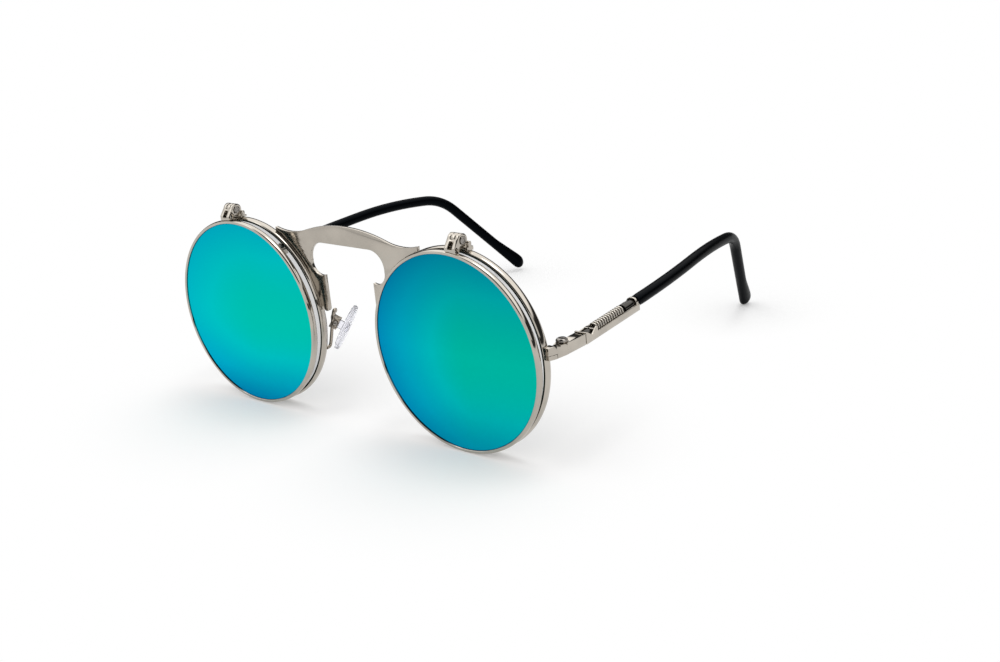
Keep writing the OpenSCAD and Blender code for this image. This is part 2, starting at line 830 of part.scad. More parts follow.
module pad_screw() {
    color("gray")
        at_pad()
            translate([0, 0, -pad_box_back])
                rotate([0, 90, 0])
                    difference() {
                        union() {
                            cylinder(r = pad_screw_r, h = 2.6, center = true, $fn = small_fn);
                            translate([0, 0, 1.12])
                                cylinder(r = 0.65, h = 0.38, $fn = small_fn);
                        }
                        translate([-1, -0.1, 1.3])
                            cube([2, 0.2, 1]);
                    }
}

// Pad arm: a wire from the back of the rim that loops over and ends in a small box
box_mid = [pad_side, pad_back, rim_r - pad_down] - pad_box_back * pad_face;
foot_r = rim_r - rim_w / 2;
foot_z = rim_r - pad_down - 4.3;
foot_x = rim_x - sqrt(foot_r * foot_r - pow(foot_z - rim_r, 2));
arm_points = [
    [foot_x, eye_rim_depth + seat_gap, foot_z],
    [foot_x - 0.1, eye_rim_depth + 1.2, foot_z + 0.4],
    [foot_x - 0.3, eye_rim_depth + 1.9, foot_z + 3],
    [foot_x - 0.6, eye_rim_depth + 2.6, foot_z + 6.5],
    [foot_x - 0.6, eye_rim_depth + 3.5, foot_z + 9],
    [foot_x - 0.4, eye_rim_depth + 4.4, foot_z + 9],
    box_mid - 0.9 * pad_face + [0, 0, 1.2],
    box_mid - 0.9 * pad_face
];
function mix3(a, b, c, d, t) =
    0.5 * (2 * b + (c - a) * t + (2 * a - 5 * b + 4 * c - d) * t * t
        + (3 * b - a - 3 * c + d) * t * t * t);
arm_last = len(arm_points) - 1;
arm_path = concat(
    [for (i = [0:arm_last - 1], j = [0:3])
        mix3(arm_points[max(0, i - 1)], arm_points[i], arm_points[i + 1],
            arm_points[min(arm_last, i + 2)], j / 4)],
    [arm_points[arm_last]]
);
function arm_way(i) =
    i == 0 ? [0, 1, 0] : unit(arm_path[min(len(arm_path) - 1, i + 1)] - arm_path[i - 1]);

module pad_arm() {
    box_w = 1.1;
    sides = 10;
    rings = [for (i = [0:len(arm_path) - 1])
        let (way = arm_way(i), across = unit(cross(way, [1, 0.1, 0])), side = cross(way, across))
        [for (k = [0:sides - 1])
            arm_path[i] + arm_wire_d / 2 * (cos(360 / sides * k) * across
                + sin(360 / sides * k) * side)]];
    color("silver")
        difference() {
            union() {
                tube(rings);
                at_pad()
                    translate([-box_w, -1.6, -pad_box_back - 1.2])
                        cube([2 * box_w, 3.2, 2]);
            }
            at_pad()
                union() {
                    translate([-0.58, -2, -pad_box_back - 0.85])
                        cube([1.16, 4, 3]);
                    translate([0, 0, -pad_box_back])
                        rotate([0, 90, 0])
                            cylinder(r = pad_screw_r + seat_gap, h = 3, center = true, $fn = small_fn);
                    translate([box_w - eps, 0, -pad_box_back])
                        rotate([0, 90, 0])
                            cylinder(r = 0.75, h = 1, $fn = small_fn);
                }
        }
}

on_side(true) eye_rim();  // eye_rim_left
on_side(false) eye_rim();  // eye_rim_right
on_side(true) rear_lens();  // rear_lens_left
on_side(false) rear_lens();  // rear_lens_right
bridge_plate();
on_side(true) flipped(left_close_deg) flip_rim();  // flip_rim_left
on_side(false) flip_rim();  // flip_rim_right
on_side(true) flipped(left_close_deg) flip_lens();  // flip_lens_left
on_side(false) flip_lens();  // flip_lens_right
on_side(true) flipped(left_close_deg) flip_bracket();  // flip_bracket_left
on_side(false) flip_bracket();  // flip_bracket_right
on_side(true) flip_base();  // flip_base_left
on_side(false) flip_base();  // flip_base_right
on_side(true) flip_pin();  // flip_pin_left
on_side(false) flip_pin();  // flip_pin_right
on_side(true) endpiece();  // endpiece_left
on_side(false) endpiece();  // endpiece_right
on_side(true) rim_screw();  // rim_screw_left
on_side(false) rim_screw();  // rim_screw_right
on_side(true) hinge_screw();  // hinge_screw_left
on_side(false) hinge_screw();  // hinge_screw_right
on_side(true) hinge_block();  // hinge_block_left
on_side(false) hinge_block();  // hinge_block_right
on_side(true) temple_bar();  // temple_bar_left
on_side(false) temple_bar();  // temple_bar_right
on_side(true) temple_core();  // temple_core_left
on_side(false) temple_core();  // temple_core_right
on_side(true) temple_spring();  // temple_spring_left
on_side(false) temple_spring();  // temple_spring_right
on_side(true) temple_tip();  // temple_tip_left
on_side(false) temple_tip();  // temple_tip_right
on_side(true) pad_arm();  // pad_arm_left
on_side(false) pad_arm();  // pad_arm_right
on_side(true) pad_screw();  // pad_screw_left
on_side(false) pad_screw();  // pad_screw_right
on_side(true) nose_pad();  // nose_pad_left
on_side(false) nose_pad();  // nose_pad_right
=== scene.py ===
import math
import bmesh
import bpy
from mathutils import Matrix, Vector


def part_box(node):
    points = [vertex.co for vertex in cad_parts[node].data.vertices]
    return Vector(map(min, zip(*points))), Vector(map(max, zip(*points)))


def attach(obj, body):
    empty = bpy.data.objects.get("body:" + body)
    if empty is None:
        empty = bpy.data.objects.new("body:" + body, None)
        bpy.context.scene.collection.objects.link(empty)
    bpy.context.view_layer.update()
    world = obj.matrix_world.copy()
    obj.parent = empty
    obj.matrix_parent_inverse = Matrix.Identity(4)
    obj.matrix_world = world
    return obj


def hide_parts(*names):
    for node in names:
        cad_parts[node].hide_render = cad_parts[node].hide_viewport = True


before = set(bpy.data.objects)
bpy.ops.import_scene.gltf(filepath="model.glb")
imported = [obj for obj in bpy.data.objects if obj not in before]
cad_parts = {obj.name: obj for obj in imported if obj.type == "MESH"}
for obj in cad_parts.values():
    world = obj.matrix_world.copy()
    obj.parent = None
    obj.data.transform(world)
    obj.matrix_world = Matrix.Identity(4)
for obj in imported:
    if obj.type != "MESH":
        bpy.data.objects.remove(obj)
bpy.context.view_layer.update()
scene = bpy.context.scene
mm = 0.001
sides = {"left": 1, "right": -1}  # the wearer's left is +X

# Sizes that the rims, the lenses and the flip hinges share, in millimetres
front = {
    "eyeRimFront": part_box("eye_rim_left")[0].y,  # in metres, as the frame gives it
    "rimX": 36.0, "rimR": 25.2, "rimWidth": 0.9,
    "eyeDepth": 2.1, "flipDepth": 1.55, "flipGap": 1.65,
    "axisY": -0.25, "axisZ": 52.5,  # where the flip hinges turn
    "leftClose": 1.2,  # the left front hangs nearer its eye rim by this many degrees
}


def at(x, y, z):  # a point in millimetres, with y counted from the front of the eye rims
    return Vector((x * mm, y * mm, z * mm)) + Vector((0, front["eyeRimFront"], 0))


# The camera
print("stage: camera")
cameraView = {
    "azimuth": 41.028, "elevation": 19.248, "roll": -5.559,
    "distance": 315.132, "target": (48.717, 0, 31.99), "lens": 50.19, "sensor": 36,
}


def makeCamera(view):
    azimuth, elevation, roll = (math.radians(view[k]) for k in ("azimuth", "elevation", "roll"))
    level = math.cos(elevation)
    back = Vector((math.sin(azimuth) * level, -math.cos(azimuth) * level, math.sin(elevation)))
    right = (-back).cross(Vector((0, 0, 1))).normalized()
    up = right.cross(-back)
    across = math.cos(roll) * right + math.sin(roll) * up
    upward = -math.sin(roll) * right + math.cos(roll) * up
    data = bpy.data.cameras.new("camera")
    data.lens, data.sensor_width, data.sensor_fit = view["lens"], view["sensor"], "HORIZONTAL"
    data.clip_start, data.clip_end = 0.01, 20
    camera = bpy.data.objects.new("camera", data)
    scene.collection.objects.link(camera)
    turn = Matrix((across, upward, back)).transposed().to_4x4()
    camera.matrix_world = Matrix.Translation(at(*view["target"]) + back * view["distance"] * mm) @ turn
    scene.camera = camera


makeCamera(cameraView)


# Shader maths written as expressions
class Wire:
    def __init__(self, shop, socket):
        self.shop, self.socket = shop, socket

    def __add__(self, other):
        return self.shop.maths("ADD", self, other)

    def __radd__(self, other):
        return self.shop.maths("ADD", other, self)

    def __sub__(self, other):
        return self.shop.maths("SUBTRACT", self, other)

    def __rsub__(self, other):
        return self.shop.maths("SUBTRACT", other, self)

    def __mul__(self, other):
        return self.shop.maths("MULTIPLY", self, other)

    def __rmul__(self, other):
        return self.shop.maths("MULTIPLY", other, self)

    def __truediv__(self, other):
        return self.shop.maths("DIVIDE", self, other)

    def __pow__(self, other):
        return self.shop.maths("POWER", self, other)


class Workshop:
    def __init__(self, name, world=None):
        owner = world or bpy.data.materials.new(name)
        owner.use_nodes = True
        self.owner, self.tree = owner, owner.node_tree
        self.tree.nodes.clear()

    def node(self, kind, settings=None, sockets=None, out=0):
        made = self.tree.nodes.new(kind)
        for key, value in (settings or {}).items():
            if key == "stops":
                self.fillRamp(made.color_ramp, value)
            else:
                setattr(made, key, value)
        for key, value in (sockets or {}).items():
            if isinstance(value, Wire):
                self.tree.links.new(value.socket, made.inputs[key])
            else:
                made.inputs[key].default_value = value
        return Wire(self, made.outputs[out])

    def fillRamp(self, ramp, stops):
        while len(ramp.elements) < len(stops):
            ramp.elements.new(0.5)
        for element, (place, colour) in zip(ramp.elements, stops):
            element.position, element.color = place, srgb(*colour)

    def maths(self, operation, a, b=0.0):
        return self.node("ShaderNodeMath", {"operation": operation}, {0: a, 1: b})

    def place(self):
        return self.node("ShaderNodeTexCoord", out="Object")

    def split(self, vector):
        return [self.node("ShaderNodeSeparateXYZ", sockets={0: vector}, out=i) for i in range(3)]

    def noise(self, vector, scale, detail):
        sockets = {"Vector": vector, "Scale": scale, "Detail": detail, "Roughness": 0.55}
        return self.node("ShaderNodeTexNoise", sockets=sockets)

    def stretched(self, vector, scale):
        return self.node("ShaderNodeMapping", sockets={"Vector": vector, "Scale": scale})

    def step(self, value, low, high):  # rises smoothly from 0 at low to 1 at high
        sockets = {"Value": value, "From Min": low, "From Max": high}
        return self.node("ShaderNodeMapRange", {"interpolation_type": "SMOOTHSTEP"}, sockets)

    def mix(self, factor, a, b, blend="MIX"):
        settings = {"data_type": "RGBA", "blend_type": blend}
        return self.node("ShaderNodeMix", settings, {0: factor, 6: a, 7: b}, out=2)

    def bump(self, height, strength, distance):
        sockets = {"Height": height, "Strength": strength, "Distance": distance}
        return self.node("ShaderNodeBump", sockets=sockets)

    def surface(self, sockets):
        return self.finish(self.node("ShaderNodeBsdfPrincipled", sockets=sockets))

    def finish(self, shader, kind="ShaderNodeOutputMaterial"):
        out = self.tree.nodes.new(kind)
        self.tree.links.new(shader.socket, out.inputs["Surface"])
        return self.owner


def srgb(r, g, b):  # a screen colour of 0 to 255, as the renderer counts it
    def linear(value):
        value /= 255
        return value / 12.92 if value <= 0.04045 else ((value + 0.055) / 1.055) ** 2.4
    return (linear(r), linear(g), linear(b), 1)


# Finishes of the metal
print("stage: materials")
plating = {
    "cloudScale": 160, "cloudFrom": 0.35, "cloudTo": 0.7, "darker": 0.88,
    "grainScale": 9000, "grainHeight": 0.00001,
    "rubScale": 2600, "rubStretch": (0.12, 1, 1),
}


def platedMetal(name, tint, rough, wear=0.04, grainDepth=0.04):
    shop = Workshop(name)
    place = shop.place()
    cloud = shop.noise(place, plating["cloudScale"], 2)
    grain = shop.noise(place, plating["grainScale"], 2)
    rub = shop.noise(shop.stretched(place, plating["rubStretch"]), plating["rubScale"], 3)
    darker = tuple(c * plating["darker"] for c in tint) + (1,)
    clouded = shop.step(cloud, plating["cloudFrom"], plating["cloudTo"])
    return shop.surface({
        "Base Color": shop.mix(clouded, darker, (*tint, 1)), "Metallic": 1.0,
        "Roughness": rough + (rub - 0.5) * wear,
        "Normal": shop.bump(grain, grainDepth, plating["grainHeight"]),
    })


nickel = platedMetal("polishedNickel", (0.51, 0.47, 0.412), 0.055)
satinNickel = platedMetal("satinNickel", (0.48, 0.44, 0.385), 0.14, wear=0.03, grainDepth=0.03)
screwSteel = platedMetal("turnedSteel", (0.32, 0.30, 0.275), 0.12)
armWire = platedMetal("armWire", (0.40, 0.35, 0.29), 0.09)
springSteel = platedMetal("drawnWire", (0.58, 0.54, 0.48), 0.09)
rodSteel = platedMetal("darkRod", (0.07, 0.066, 0.06), 0.14)

# The coating of the mirror lenses, whose colour also holds painted light and shade. A pair is a strength and
# what the wearer's left lens adds to it
mirrorLook = {
    "rightFrom": 0.15, "rightPower": 1.4, "right": (0.13, 0.23),  # bluer towards the wearer's right
    "low": (0.44, -0.15), "high": (0.20, 0.09),  # bluer at the bottom and at the top
    "base": (0.0, -0.02), "cloud": 0.03, "cloudScale": 45, "range": 0.45, "start": 0.04,
    # painted light and shade: the wearer's right lens is painted brighter than the left, and both are
    # painted darker from the middle towards the top
    "light": (1.14, -0.13), "paintedTopShade": (0.16, 0.26),
    # painted shade: a navy ring at the lens's edge, where it meets the rim
    "edgeFrom": 0.955, "edgeTo": 0.966, "edgeShadeColour": (20, 40, 110), "backColour": (46, 50, 50),
    "rough": 0.14, "dustRough": 0.05, "dustScale": 5200, "backMetal": 0.8,
    "stops": (
        (0.0, (0, 183, 163)), (0.11, (0, 184, 175)), (0.22, (0, 185, 187)), (0.44, (0, 172, 191)),
        (0.60, (0, 165, 194)), (0.84, (0, 148, 190)), (1.0, (0, 134, 186)),
    ),
}


def mirrorCoating():
    shop, look = Workshop("mirrorCoating"), mirrorLook
    place = shop.place()
    x, _, z = shop.split(place)
    normalY = shop.split(shop.node("ShaderNodeTexCoord", out="Normal"))[1]
    rimX, rimR = front["rimX"] * mm, front["rimR"] * mm
    across = (x - shop.maths("SIGN", x) * rimX) / rimR
    high = (z - rimR) / rimR
    leftLens = shop.maths("GREATER_THAN", x, 0.0)

    def byLens(pair):
        return pair[0] + pair[1] * leftLens

    above, below = shop.maths("MAXIMUM", high, 0.0), shop.maths("MINIMUM", high, 0.0)
    rightward = shop.maths("MAXIMUM", look["rightFrom"] - across, 0.0)
    cloud = shop.noise(place, look["cloudScale"], 2) - 0.5
    blue = rightward ** look["rightPower"] * byLens(look["right"])
    blue = blue + below * below * byLens(look["low"]) + above * above * byLens(look["high"])
    blue = (blue + byLens(look["base"]) + cloud * look["cloud"]) / look["range"] + look["start"]
    colour = shop.node("ShaderNodeValToRGB", {"stops": look["stops"]}, {"Fac": blue})
    # painted shade: a grey that darkens the coating from the middle towards the top, more on the wearer's
    # left lens
    shade = byLens(look["light"]) - above * byLens(look["paintedTopShade"])
    paintedShadeGrey = shop.node("ShaderNodeCombineColor", sockets={0: shade, 1: shade, 2: shade})
    colour = shop.mix(1.0, colour, paintedShadeGrey, "MULTIPLY")
    reach = shop.maths("SQRT", across * across + high * high)
    # painted shade: the lens turns navy from just inside its edge outwards, beside the rim
    edge = shop.step(reach, look["edgeFrom"], look["edgeTo"])
    colour = shop.mix(edge, colour, srgb(*look["edgeShadeColour"]))
    backSide = shop.step(normalY, -0.2, 0.2)
    dust = shop.step(shop.noise(place, look["dustScale"], 2), 0.6, 0.8)
    return shop.surface({
        "Base Color": shop.mix(backSide, colour, srgb(*look["backColour"])),
        "Metallic": 1.0 - backSide * look["backMetal"],
        "Roughness": look["rough"] + dust * look["dustRough"],
        "Specular Tint": (0.0, 0.6, 0.6, 1),
    })


# The clear rear lenses, less clear where they are seen edge on
lensLook = {
    "tint": (0.16, 0.18, 0.18), "smeared": 0.95, "smearScale": 260,
    "rough": 0.03, "smearRough": 0.05,
    "alpha": 0.08, "edgeAlpha": 0.9, "edgeShare": 0.6, "edgeBlend": 0.35,
}


def clearLens():
    shop, look = Workshop("clearLens"), lensLook
    smear = shop.noise(shop.place(), look["smearScale"], 3)
    facing = shop.node("ShaderNodeLayerWeight", sockets={"Blend": look["edgeBlend"]}, out="Facing")
    smeared = tuple(c * look["smeared"] for c in look["tint"]) + (1,)
    edge = facing * (look["edgeAlpha"] - look["alpha"]) * look["edgeShare"]
    return shop.surface({
        "Base Color": shop.mix(smear, (*look["tint"], 1), smeared),
        "Roughness": look["rough"] + smear * look["smearRough"],
        "Alpha": look["alpha"] + edge,
    })


# The soft clear plastic of the nose pads
padLook = {
    "dull": (232, 232, 242), "bright": (250, 250, 253), "smearScale": 500,
    "rough": 0.16, "smearRough": 0.1, "bend": 1.42, "clear": 0.90,
    "bump": 0.03, "bumpHeight": 0.0001,
}


def padPlastic():
    shop, look = Workshop("padPlastic"), padLook
    smear = shop.noise(shop.place(), look["smearScale"], 3)
    return shop.surface({
        "Base Color": shop.mix(smear, srgb(*look["dull"]), srgb(*look["bright"])),
        "Roughness": look["rough"] + smear * look["smearRough"],
        "IOR": look["bend"], "Transmission Weight": look["clear"],
        "Normal": shop.bump(smear, look["bump"], look["bumpHeight"]),
    })


# The black acetate of the sleeves
acetateLook = {
    "dark": (0.0006, 0.0007, 0.0009, 1), "streak": (0.0014, 0.0018, 0.0026, 1),
    "streakScale": 900, "streakStretch": (1, 0.15, 1), "rough": 0.24, "streakRough": 0.12,
    "gloss": 0.03, "glossTint": (0.55, 0.75, 1.0, 1),
    "speckScale": 7000, "speckDepth": 0.04, "speckHeight": 0.00001,
}


def blackAcetate():
    shop, look = Workshop("blackAcetate"), acetateLook
    place = shop.place()
    streak = shop.noise(shop.stretched(place, look["streakStretch"]), look["streakScale"], 4)
    speck = shop.noise(place, look["speckScale"], 2)
    return shop.surface({
        "Base Color": shop.mix(streak, look["dark"], look["streak"]),
        "Roughness": look["rough"] + streak * look["streakRough"],
        "Specular IOR Level": look["gloss"], "Specular Tint": look["glossTint"],
        "Normal": shop.bump(speck, look["speckDepth"], look["speckHeight"]),
    })


mirror = mirrorCoating()
lensClear = clearLens()
padClear = padPlastic()
acetate = blackAcetate()


# Helpers that make, smooth and join meshes
def toObject(name, mesh, material):
    obj = bpy.data.objects.new(name, mesh)
    scene.collection.objects.link(obj)
    mesh.materials.clear()
    mesh.materials.append(material)
    return obj


def settle(obj):  # turns an object's modifiers into its plain mesh
    graph = bpy.context.evaluated_depsgraph_get()
    mesh = bpy.data.meshes.new_from_object(obj.evaluated_get(graph), depsgraph=graph)
    obj.modifiers.clear()
    obj.data = mesh
    return obj


edgeAngle = 32  # an edge is broken where its faces turn by more degrees than this


def soften(obj, width, segments=2, clamp=False):
    for face in obj.data.polygons:
        face.use_smooth = True
    bevel = obj.modifiers.new("edge", "BEVEL")
    bevel.width, bevel.segments = width * mm, segments
    bevel.limit_method, bevel.angle_limit = "ANGLE", math.radians(edgeAngle)
    bevel.use_clamp_overlap, bevel.harden_normals = clamp, True
    return settle(obj)


def shell(rings, closedPath=False, capEnds=True):  # joins rings of points, in millimetres
    made = bmesh.new()
    verts = [[made.verts.new(at(*p)) for p in ring] for ring in rings]
    count = len(rings[0])
    last = len(rings) if closedPath else len(rings) - 1
    for i in range(last):
        a, b = verts[i], verts[(i + 1) % len(rings)]
        for k in range(count):
            after = (k + 1) % count
            made.faces.new((a[k], a[after], b[after], b[k]))
    if capEnds and not closedPath:
        made.faces.new(list(reversed(verts[0])))
        made.faces.new(verts[-1])
    bmesh.ops.remove_doubles(made, verts=made.verts, dist=1e-7)
    bmesh.ops.recalc_face_normals(made, faces=made.faces)
    mesh = bpy.data.meshes.new("shell")
    made.to_mesh(mesh)
    made.free()
    for face in mesh.polygons:
        face.use_smooth = True
    return mesh


def flat(mesh, angle):  # keeps edges sharp where the faces turn by more degrees than this
    mesh.set_sharp_from_angle(angle=math.radians(angle))
    return mesh


def joined(obj, *others):  # adds the other objects' meshes to the first and removes them
    made = bmesh.new()
    for part in (obj, *others):
        made.from_mesh(part.data)
    made.to_mesh(obj.data)
    made.free()
    for part in others:
        bpy.data.objects.remove(part)
    return obj


flatWithin = 0.6  # faces of a CAD mesh that turn by fewer degrees than this become one


def merged(node):
    made = bmesh.new()
    made.from_mesh(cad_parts[node].data)
    bmesh.ops.remove_doubles(made, verts=made.verts, dist=1e-6)
    limit = math.radians(flatWithin)
    bmesh.ops.dissolve_limit(made, angle_limit=limit, verts=made.verts, edges=made.edges)
    mesh = bpy.data.meshes.new(node)
    made.to_mesh(mesh)
    made.free()
    return mesh


def seat(obj, body, slotName, *nodes):
    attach(obj, body)
    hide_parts(*nodes)


def revolve(profile, sign, middleY, steps, start=0.0, sweep=360.0):  # turns a profile about a lens's middle
    closed = sweep == 360.0
    count = steps if closed else steps + 1
    rings = []
    for i in range(count):
        angle = math.radians(start + sweep * i / steps)
        wide, high = math.cos(angle), math.sin(angle)
        rings.append([(sign * (front["rimX"] + r * wide), middleY + y, front["rimR"] + r * high)
                      for r, y in profile])
    return shell(rings, closedPath=closed)


def tilted(mesh, degrees):  # turns a left flip piece closed about the hinge axis
    axis = at(0, front["axisY"], front["axisZ"])
    turn = Matrix.Rotation(math.radians(degrees), 4, "X")
    mesh.transform(Matrix.Translation(axis) @ turn @ Matrix.Translation(-axis))
    return mesh


# Rims, each with a groove inside for its lens
print("stage: rims and lenses")
rimShape = {
    "crownTilt": 35.0, "crownSteps": 12, "corner": 0.09, "cornerSteps": 4, "lip": 0.07,
    "grooveHalf": 0.5, "grooveDeep": 0.45, "steps": 288, "sharp": 40,
}


def rimProfile(depth):  # a flat front and back, and an outer side that is crowned across the depth
    shape = rimShape
    outer, inner, half = front["rimR"], front["rimR"] - front["rimWidth"], depth / 2
    tilt, steps = math.radians(shape["crownTilt"]), shape["crownSteps"]
    corner, lip, groove = shape["corner"], shape["lip"], shape["grooveHalf"]
    crownR = (half - corner * (1 - math.sin(tilt))) / math.sin(tilt)
    points = []
    for i in range(-steps, steps + 1):
        t = tilt * i / steps
        points.append((outer - crownR * (1 - math.cos(t)), crownR * math.sin(t)))
    edgeR, edgeY = points[-1][0] - corner * math.cos(tilt), half - corner
    turns = shape["cornerSteps"]
    turn = [tilt + (math.pi / 2 - tilt) * k / turns for k in range(1, turns + 1)]
    points = [(edgeR + corner * math.cos(t), -edgeY - corner * math.sin(t)) for t in reversed(turn)] + points
    points += [(edgeR + corner * math.cos(t), edgeY + corner * math.sin(t)) for t in turn]
    points += [(inner + lip, half), (inner, half - lip), (inner, groove), (inner + shape["grooveDeep"], 0)]
    points += [(inner, -groove), (inner, -half + lip), (inner + lip, -half)]
    return points


# Lenses, a little curved, with a bevelled edge that sits in the groove
lensShape = {
    "thickness": 1.0, "curve": 600.0, "bevel": 0.36, "play": 0.03,
    "rings": 12, "steps": 192, "sharp": 25,
}


def lensProfile():
    shape = lensShape
    radius = front["rimR"] - front["rimWidth"] - shape["play"]
    curve, thick = shape["curve"], shape["thickness"]
    start = -(curve - math.sqrt(curve * curve - radius * radius)) - thick / 2

    def surfaceAt(r, middle):
        return middle + curve - math.sqrt(curve * curve - r * r)

    places = [radius * i / shape["rings"] for i in range(shape["rings"] + 1)]
    frontSide = [(r, surfaceAt(r, start)) for r in places]
    backSide = [(r, surfaceAt(r, start + thick)) for r in reversed(places)]
    return frontSide + [(radius + shape["bevel"], 0)] + backSide


# The closing block of an eye rim, sawn through beside the endpiece
lugShape = {
    "saw": 27.9, "sawWidth": 0.1, "sawInside": 0.4, "height": 1.05,
    "sunk": 0.45, "frontY": 0.05, "frontOut": 1.0, "backOut": 1.85, "softness": 0.05,
    "screwOut": 0.55, "headR": 0.67, "headT": 0.4, "below": 0.5, "round": 40,
}


def makeLug(sign, middleY):
    lug, outer, back = lugShape, front["rimX"] + front["rimR"], front["eyeDepth"]
    bottom = lug["saw"] - lug["height"]
    corners = [(outer - lug["sunk"], lug["frontY"]), (outer + lug["frontOut"], lug["frontY"]),
               (outer + lug["backOut"], back), (outer - lug["sunk"], back)]
    levels = (bottom, lug["saw"])
    block = toObject("block", shell([[(sign * x, y, z) for x, y in corners] for z in levels]), nickel)
    centre = sign * (outer + lug["screwOut"])
    turns = [k * math.pi / (lug["round"] / 2) for k in range(lug["round"])]
    circle = [(centre + lug["headR"] * math.cos(a), middleY + lug["headR"] * math.sin(a)) for a in turns]
    depths = (bottom - lug["below"], bottom + lug["headT"])
    hole = toObject("hole", shell([[(x, y, z) for x, y in circle] for z in depths]), nickel)
    cut = block.modifiers.new("cut", "BOOLEAN")
    cut.operation, cut.solver, cut.object = "DIFFERENCE", "EXACT", hole
    settle(block)
    bpy.data.objects.remove(hole)
    return soften(block, lug["softness"])


def makeEyeRim(side, sign, middleY):
    lug, shape = lugShape, rimShape
    rise = (lug["saw"] - front["rimR"]) / (front["rimR"] - lug["sawInside"])
    opening, gap = math.degrees(math.asin(rise)), math.degrees(lug["sawWidth"] / front["rimR"])
    profile = rimProfile(front["eyeDepth"])
    ring = revolve(profile, sign, middleY, shape["steps"], start=opening + gap, sweep=360 - gap)
    ring = toObject("eyeRim_" + side, flat(ring, shape["sharp"]), nickel)
    return joined(ring, makeLug(sign, middleY))


def makeFlipRim(side, sign, middleY, close):
    ring = revolve(rimProfile(front["flipDepth"]), sign, middleY, rimShape["steps"])
    return toObject("flipRim_" + side, flat(tilted(ring, close), rimShape["sharp"]), nickel)


def makeLens(name, sign, middleY, close, material):
    lens = revolve(lensProfile(), sign, middleY, lensShape["steps"])
    return toObject(name, flat(tilted(lens, close), lensShape["sharp"]), material)


for side, sign in sides.items():
    close = front["leftClose"] if side == "left" else 0
    eyeMid, flipMid = front["eyeDepth"] / 2, -front["flipGap"] - front["flipDepth"] / 2
    flipRim = makeFlipRim(side, sign, flipMid, close)
    seat(flipRim, "flip_" + side, "frame_metal", "flip_rim_" + side)
    flipLens = makeLens("flipLens_" + side, sign, flipMid, close, mirror)
    seat(flipLens, "flip_" + side, "lens_mirror", "flip_lens_" + side)
    rearLens = makeLens("rearLens_" + side, sign, eyeMid, 0, lensClear)
    seat(rearLens, "front", "lens_clear", "rear_lens_" + side)
    eyeRim = makeEyeRim(side, sign, eyeMid)
    seat(eyeRim, "front", "frame_metal", "eye_rim_" + side)

# Metal pieces whose form comes from the frame, with their edges broken
print("stage: metal pieces")
metalPieces = {  # the CAD node, its finish, the width of its broken edges, its body and its slot
    "flipSaddle": ("flip_base", nickel, 0.06, "front", "frame_metal"),
    "flipLeaf": ("flip_bracket", nickel, 0.07, "flip", "frame_metal"),
    "flipPin": ("flip_pin", screwSteel, 0.05, "front", "screw_steel"),
    "endArm": ("endpiece", nickel, 0.07, "front", "frame_metal"),
    "rimScrew": ("rim_screw", screwSteel, 0.03, "front", "screw_steel"),
    "hingeScrew": ("hinge_screw", screwSteel, 0.05, "front", "screw_steel"),
    "hingeBlock": ("hinge_block", nickel, 0.07, "temple", "frame_metal"),
    "templeBar": ("temple_bar", nickel, 0.10, "temple", "frame_metal"),
    "templeRod": ("temple_core", rodSteel, 0.03, "temple", "core_steel"),
    "padScrew": ("pad_screw", screwSteel, 0.03, "front", "screw_steel"),
    "padArm": ("pad_arm", armWire, 0.04, "front", "frame_metal"),
}
for pieceName, (kind, material, width, body, slotName) in metalPieces.items():
    for side in sides:
        node = kind + "_" + side
        piece = toObject(pieceName + "_" + side, merged(node), material)
        soften(piece, width, clamp=pieceName == "endArm")  # its corners spike without the clamp
        seat(piece, body if body == "front" else body + "_" + side, slotName, node)

bridgeEdge = 0.06
bridge = toObject("bridge", merged("bridge_plate"), satinNickel)
soften(bridge, bridgeEdge)
seat(bridge, "front", "frame_metal", "bridge_plate")

# A temple's own line runs back from its hinge, and its lengths are counted along it
print("stage: springs")
templeShape = {
    "pivot": (62.1, 5.2, 28.5), "axisOut": 0.5, "axisUp": 0.05,
    "lean": {"left": 2.3, "right": 1.1}, "rise": {"left": 2.3, "right": 2.8},
    "channelFrom": 6.38, "channelLength": 23.0, "guideAfter": 3.85, "guideThick": 1.05,
    "sleeveAfter": 0.6,
    "length": 91.3, "curveIn": 6.2, "curveFrom": 30, "dip": 3.6, "dipFrom": 60,
    "bend": 6, "drop": 49.2, "turn": 23.8, "endUp": 0.2,
}
springShape = {
    "turns": 13, "pitch": 0.93, "radius": 1.35, "wire": 0.60,
    "sidesRound": 12, "stepsPerTurn": 36,
    "start": templeShape["channelFrom"] + templeShape["guideAfter"] + templeShape["guideThick"],
}


def onTemple(side):  # from the temple's own line to the object, in metres
    t = templeShape
    lean = Matrix.Rotation(math.radians(t["lean"][side]), 4, "Z")
    rise = Matrix.Rotation(math.radians(t["rise"][side]), 4, "X")
    offset = Matrix.Translation(Vector((t["axisOut"], 0, t["axisUp"])) * mm)
    mirrored = Matrix.Scale(sides[side], 4, Vector((1, 0, 0)))
    return mirrored @ (Matrix.Translation(at(*t["pivot"])) @ lean @ rise @ offset)


